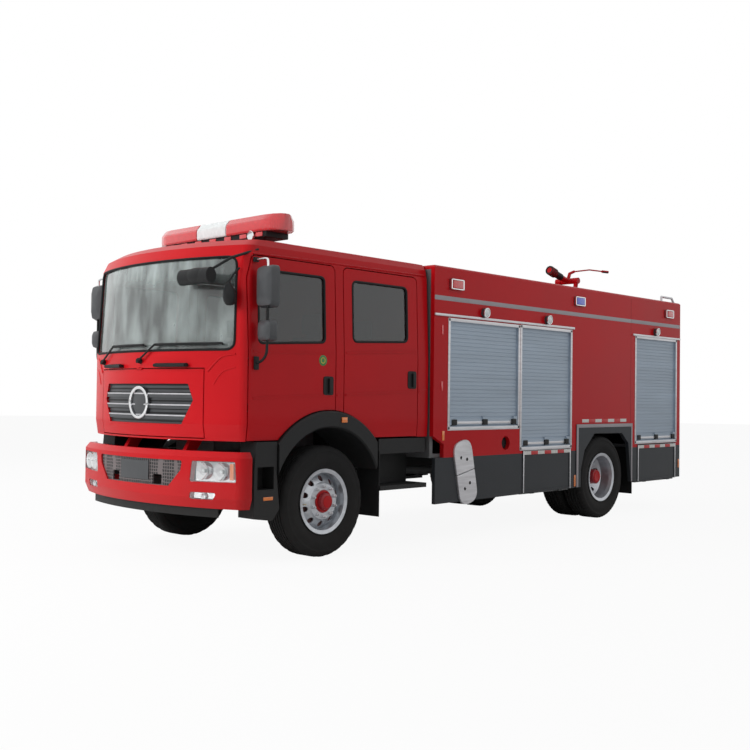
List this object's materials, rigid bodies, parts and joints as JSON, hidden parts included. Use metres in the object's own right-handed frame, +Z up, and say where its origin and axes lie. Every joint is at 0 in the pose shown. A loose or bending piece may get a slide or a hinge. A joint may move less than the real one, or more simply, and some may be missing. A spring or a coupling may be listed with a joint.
{
  "type": "fire truck",
  "caption": "Crew-cab fire truck with tilting cab, roller-shutter equipment body, fold-down steps and a roof water monitor.",
  "frame": {"origin": "on the ground under the middle of the overall length and width", "axes": "+X forward, +Y to the truck's left, +Z up"},
  "size_m": [8.4, 2.88, 3.4098],
  "materials": {
    "red": "gloss red paint",
    "frame": "satin black chassis paint",
    "engine": "dull",
    "tank": "satin black",
    "black_plastic": "grained black",
    "lamp_glass": "clear lens",
    "inner_grey": "satin grey",
    "shutter": "satin anodised",
    "bright": "brushed",
    "skirt_grey": "satin blue-grey paint",
    "lamp_red": "coloured lens",
    "rubber": "matt",
    "glass": "tinted",
    "seat_fabric": "woven",
    "dash_plastic": "grained",
    "tyre": "matt",
    "wheel_metal": "bright machined"
  },
  "bodies": {
    "chassis": {"frame_rails": "frame", "front_axle": "frame", "rear_axle": "frame", "engine": "engine", "chassis_tanks": "tank", "side_steps": "black_plastic", "bumper": "red", "bumper_grille": "black_plastic", "headlamps": "lamp_glass", "body_frame": "inner_grey", "body_sides": "red", "body_roof": "red", "shutters": "shutter", "body_trim": "bright", "skirts": "skirt_grey", "body_lamps": "lamp_red", "rear_ladder": "bright", "rear_bumper": "frame", "mud_flaps": "rubber", "monitor_base": "red"},
    "cab": {"cab_shell": "red", "windscreen": "glass", "cab_trim": "black_plastic", "cab_steps": "black_plastic", "seats": "seat_fabric", "dashboard": "dash_plastic", "light_bar": "lamp_red", "wheel_flares": "black_plastic"},
    "cab_front_panel": {"front_panel": "red", "front_grille": "black_plastic"},
    "door_front_left": {"door_front_left": "red", "glass_front_left": "glass", "mirror_front_left": "black_plastic"},
    "door_front_right": {"door_front_right": "red", "glass_front_right": "glass", "mirror_front_right": "black_plastic"},
    "door_rear_left": {"door_rear_left": "red", "glass_rear_left": "glass"},
    "door_rear_right": {"door_rear_right": "red", "glass_rear_right": "glass"},
    "knuckle_left": {"knuckle_left": "frame"},
    "knuckle_right": {"knuckle_right": "frame"},
    "wheel_front_left": {"tyre_front_left": "tyre", "rim_front_left": "wheel_metal"},
    "wheel_front_right": {"tyre_front_right": "tyre", "rim_front_right": "wheel_metal"},
    "wheel_rear_left": {"tyre_rear_left": "tyre", "rim_rear_left": "wheel_metal"},
    "wheel_rear_right": {"tyre_rear_right": "tyre", "rim_rear_right": "wheel_metal"},
    "monitor_swivel": {"monitor_head": "red"},
    "monitor_tilt": {"monitor_barrel": "red"},
    "step_front_left": {"step_front_left": "skirt_grey"},
    "step_front_right": {"step_front_right": "skirt_grey"},
    "step_rear_left": {"step_rear_left": "skirt_grey"},
    "step_rear_right": {"step_rear_right": "skirt_grey"}
  },
  "joints": [
    {"name": "cab_tilt", "type": "hinge", "parent": "chassis", "child": "cab", "pos_m": [4.01, 0, 0.88], "axis": [0, 1, 0], "range_deg": [0, 45]},
    {"name": "front_panel_lift", "type": "hinge", "parent": "cab", "child": "cab_front_panel", "pos_m": [4.148, 0, 1.742], "axis": [0, -1, 0], "range_deg": [0, 75]},
    {"name": "door_front_left_hinge", "type": "hinge", "parent": "cab", "child": "door_front_left", "pos_m": [3.805, 1.18, 1.9], "axis": [0, 0, -1], "range_deg": [0, 70]},
    {"name": "door_front_right_hinge", "type": "hinge", "parent": "cab", "child": "door_front_right", "pos_m": [3.805, -1.18, 1.9], "axis": [0, 0, 1], "range_deg": [0, 70]},
    {"name": "door_rear_left_hinge", "type": "hinge", "parent": "cab", "child": "door_rear_left", "pos_m": [2.63, 1.18, 1.9], "axis": [0, 0, -1], "range_deg": [0, 70]},
    {"name": "door_rear_right_hinge", "type": "hinge", "parent": "cab", "child": "door_rear_right", "pos_m": [2.63, -1.18, 1.9], "axis": [0, 0, 1], "range_deg": [0, 70]},
    {"name": "steer_left", "type": "hinge", "parent": "chassis", "child": "knuckle_left", "pos_m": [2.86, 0.812, 0.522], "axis": [0, 0, 1], "range_deg": [-35, 35]},
    {"name": "steer_right", "type": "hinge", "parent": "chassis", "child": "knuckle_right", "pos_m": [2.86, -0.812, 0.522], "axis": [0, 0, 1], "range_deg": [-35, 35]},
    {"name": "wheel_front_left_spin", "type": "hinge", "parent": "knuckle_left", "child": "wheel_front_left", "pos_m": [2.86, 1.014, 0.522], "axis": [0, 1, 0], "continuous": true},
    {"name": "wheel_front_right_spin", "type": "hinge", "parent": "knuckle_right", "child": "wheel_front_right", "pos_m": [2.86, -1.014, 0.522], "axis": [0, 1, 0], "continuous": true},
    {"name": "wheel_rear_left_spin", "type": "hinge", "parent": "chassis", "child": "wheel_rear_left", "pos_m": [-1.98, 0.933, 0.522], "axis": [0, 1, 0], "continuous": true},
    {"name": "wheel_rear_right_spin", "type": "hinge", "parent": "chassis", "child": "wheel_rear_right", "pos_m": [-1.98, -0.933, 0.522], "axis": [0, 1, 0], "continuous": true},
    {"name": "monitor_turn", "type": "hinge", "parent": "chassis", "child": "monitor_swivel", "pos_m": [-3.065, 0, 3.01], "axis": [0, 0, 1], "continuous": true},
    {"name": "monitor_elevate", "type": "hinge", "parent": "monitor_swivel", "child": "monitor_tilt", "pos_m": [-3.065, 0, 3.205], "axis": [0, -1, 0], "range_deg": [-30, 35]},
    {"name": "step_front_left_fold", "type": "hinge", "parent": "chassis", "child": "step_front_left", "pos_m": [-0.702, 1.245, 0.415], "axis": [-1, 0, 0], "range_deg": [0, 90]},
    {"name": "step_front_right_fold", "type": "hinge", "parent": "chassis", "child": "step_front_right", "pos_m": [-0.702, -1.245, 0.415], "axis": [1, 0, 0], "range_deg": [0, 90]},
    {"name": "step_rear_left_fold", "type": "hinge", "parent": "chassis", "child": "step_rear_left", "pos_m": [-3.382, 1.245, 0.415], "axis": [-1, 0, 0], "range_deg": [0, 90]},
    {"name": "step_rear_right_fold", "type": "hinge", "parent": "chassis", "child": "step_rear_right", "pos_m": [-3.382, -1.245, 0.415], "axis": [1, 0, 0], "range_deg": [0, 90]}
  ],
  "couplings": [
    {"joint": "steer_right", "follows": "steer_left", "ratio": 1}
  ]
}
